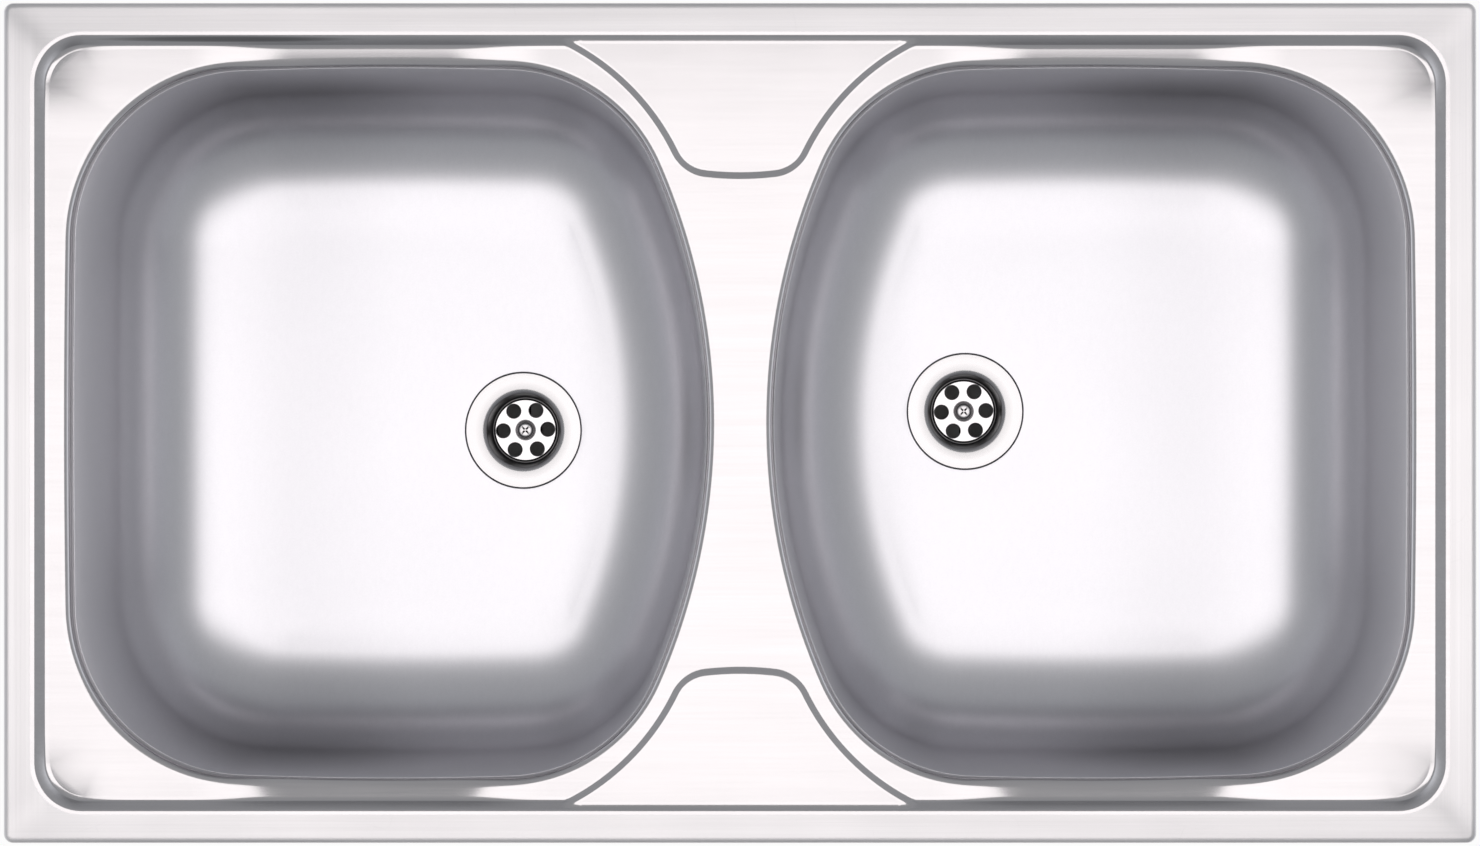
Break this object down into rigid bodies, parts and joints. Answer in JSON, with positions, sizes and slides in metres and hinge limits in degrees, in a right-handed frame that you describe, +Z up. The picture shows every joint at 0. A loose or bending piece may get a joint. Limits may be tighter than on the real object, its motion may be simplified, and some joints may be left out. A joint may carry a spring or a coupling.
{
  "type": "double bowl kitchen sink",
  "caption": "Inset stainless kitchen sink with paired D-shaped bowls, a pressed deck relief, strainer wastes and swing clamps that grip the worktop from below.",
  "frame": {"origin": "middle of the sink, on the plane of the worktop's top face, where the foam seal rests", "axes": "+X to the right along the length, +Y to the rear, +Z up"},
  "size_m": [0.78, 0.445, 0.2101],
  "materials": {
    "satin_steel": "fine satin brushing",
    "bright_steel": "polished",
    "zinc_steel": "zinc plated",
    "brass": "turned",
    "black_rubber": "matt",
    "grey_foam": "closed-cell foam",
    "grey_pad": "matt bitumen",
    "dark_plastic": "moulded"
  },
  "bodies": {
    "sink": {"deck": "satin_steel", "rim_seal": "grey_foam", "bowl_left": "satin_steel", "sound_pad_left": "grey_pad", "strainer_left": "bright_steel", "flange_seal_left": "black_rubber", "strainer_screw_left": "bright_steel", "under_gasket_left": "black_rubber", "waste_body_left": "dark_plastic", "thread_insert_left": "brass", "bowl_right": "satin_steel", "sound_pad_right": "grey_pad", "strainer_right": "bright_steel", "flange_seal_right": "black_rubber", "strainer_screw_right": "bright_steel", "under_gasket_right": "black_rubber", "waste_body_right": "dark_plastic", "thread_insert_right": "brass", "clamp_bracket_front_left": "zinc_steel", "clamp_bracket_front_middle": "zinc_steel", "clamp_bracket_front_right": "zinc_steel", "clamp_bracket_rear_left": "zinc_steel", "clamp_bracket_rear_middle": "zinc_steel", "clamp_bracket_rear_right": "zinc_steel"},
    "clamp_washer_front_left": {"clamp_washer_front_left": "zinc_steel"},
    "clamp_screw_front_left": {"clamp_screw_front_left": "zinc_steel"},
    "clamp_claw_front_left": {"clamp_claw_front_left": "zinc_steel"},
    "clamp_washer_front_middle": {"clamp_washer_front_middle": "zinc_steel"},
    "clamp_screw_front_middle": {"clamp_screw_front_middle": "zinc_steel"},
    "clamp_claw_front_middle": {"clamp_claw_front_middle": "zinc_steel"},
    "clamp_washer_front_right": {"clamp_washer_front_right": "zinc_steel"},
    "clamp_screw_front_right": {"clamp_screw_front_right": "zinc_steel"},
    "clamp_claw_front_right": {"clamp_claw_front_right": "zinc_steel"},
    "clamp_washer_rear_left": {"clamp_washer_rear_left": "zinc_steel"},
    "clamp_screw_rear_left": {"clamp_screw_rear_left": "zinc_steel"},
    "clamp_claw_rear_left": {"clamp_claw_rear_left": "zinc_steel"},
    "clamp_washer_rear_middle": {"clamp_washer_rear_middle": "zinc_steel"},
    "clamp_screw_rear_middle": {"clamp_screw_rear_middle": "zinc_steel"},
    "clamp_claw_rear_middle": {"clamp_claw_rear_middle": "zinc_steel"},
    "clamp_washer_rear_right": {"clamp_washer_rear_right": "zinc_steel"},
    "clamp_screw_rear_right": {"clamp_screw_rear_right": "zinc_steel"},
    "clamp_claw_rear_right": {"clamp_claw_rear_right": "zinc_steel"}
  },
  "joints": [
    {"name": "clamp_lift_front_left", "type": "slide", "parent": "sink", "child": "clamp_washer_front_left", "axis": [0, 0, 1], "range_m": [0, 0.013]},
    {"name": "clamp_turn_front_left", "type": "hinge", "parent": "clamp_washer_front_left", "child": "clamp_screw_front_left", "pos_m": [-0.329, -0.19108, 0.001], "axis": [0, 0, 1], "range_deg": [0, 6000]},
    {"name": "clamp_swing_front_left", "type": "hinge", "parent": "clamp_washer_front_left", "child": "clamp_claw_front_left", "pos_m": [-0.329, -0.19108, 0.001], "axis": [0, 0, 1], "range_deg": [0, 90]},
    {"name": "clamp_lift_front_middle", "type": "slide", "parent": "sink", "child": "clamp_washer_front_middle", "axis": [0, 0, 1], "range_m": [0, 0.013]},
    {"name": "clamp_turn_front_middle", "type": "hinge", "parent": "clamp_washer_front_middle", "child": "clamp_screw_front_middle", "pos_m": [0, -0.19444, 0.0031], "axis": [0, 0, 1], "range_deg": [0, 6000]},
    {"name": "clamp_swing_front_middle", "type": "hinge", "parent": "clamp_washer_front_middle", "child": "clamp_claw_front_middle", "pos_m": [0, -0.19444, 0.0031], "axis": [0, 0, 1], "range_deg": [0, 90]},
    {"name": "clamp_lift_front_right", "type": "slide", "parent": "sink", "child": "clamp_washer_front_right", "axis": [0, 0, 1], "range_m": [0, 0.013]},
    {"name": "clamp_turn_front_right", "type": "hinge", "parent": "clamp_washer_front_right", "child": "clamp_screw_front_right", "pos_m": [0.329, -0.19108, 0.001], "axis": [0, 0, 1], "range_deg": [0, 6000]},
    {"name": "clamp_swing_front_right", "type": "hinge", "parent": "clamp_washer_front_right", "child": "clamp_claw_front_right", "pos_m": [0.329, -0.19108, 0.001], "axis": [0, 0, -1], "range_deg": [0, 90]},
    {"name": "clamp_lift_rear_left", "type": "slide", "parent": "sink", "child": "clamp_washer_rear_left", "axis": [0, 0, 1], "range_m": [0, 0.013]},
    {"name": "clamp_turn_rear_left", "type": "hinge", "parent": "clamp_washer_rear_left", "child": "clamp_screw_rear_left", "pos_m": [-0.329, 0.19108, 0.001], "axis": [0, 0, 1], "range_deg": [0, 6000]},
    {"name": "clamp_swing_rear_left", "type": "hinge", "parent": "clamp_washer_rear_left", "child": "clamp_claw_rear_left", "pos_m": [-0.329, 0.19108, 0.001], "axis": [0, 0, -1], "range_deg": [0, 90]},
    {"name": "clamp_lift_rear_middle", "type": "slide", "parent": "sink", "child": "clamp_washer_rear_middle", "axis": [0, 0, 1], "range_m": [0, 0.013]},
    {"name": "clamp_turn_rear_middle", "type": "hinge", "parent": "clamp_washer_rear_middle", "child": "clamp_screw_rear_middle", "pos_m": [0, 0.19444, 0.0031], "axis": [0, 0, 1], "range_deg": [0, 6000]},
    {"name": "clamp_swing_rear_middle", "type": "hinge", "parent": "clamp_washer_rear_middle", "child": "clamp_claw_rear_middle", "pos_m": [0, 0.19444, 0.0031], "axis": [0, 0, 1], "range_deg": [0, 90]},
    {"name": "clamp_lift_rear_right", "type": "slide", "parent": "sink", "child": "clamp_washer_rear_right", "axis": [0, 0, 1], "range_m": [0, 0.013]},
    {"name": "clamp_turn_rear_right", "type": "hinge", "parent": "clamp_washer_rear_right", "child": "clamp_screw_rear_right", "pos_m": [0.329, 0.19108, 0.001], "axis": [0, 0, 1], "range_deg": [0, 6000]},
    {"name": "clamp_swing_rear_right", "type": "hinge", "parent": "clamp_washer_rear_right", "child": "clamp_claw_rear_right", "pos_m": [0.329, 0.19108, 0.001], "axis": [0, 0, 1], "range_deg": [0, 90]}
  ],
  "couplings": [
    {"joint": "clamp_turn_front_left", "follows": "clamp_lift_front_left", "rad_per_m": 7854},
    {"joint": "clamp_turn_front_middle", "follows": "clamp_lift_front_middle", "rad_per_m": 7854},
    {"joint": "clamp_turn_front_right", "follows": "clamp_lift_front_right", "rad_per_m": 7854},
    {"joint": "clamp_turn_rear_left", "follows": "clamp_lift_rear_left", "rad_per_m": 7854},
    {"joint": "clamp_turn_rear_middle", "follows": "clamp_lift_rear_middle", "rad_per_m": 7854},
    {"joint": "clamp_turn_rear_right", "follows": "clamp_lift_rear_right", "rad_per_m": 7854}
  ]
}
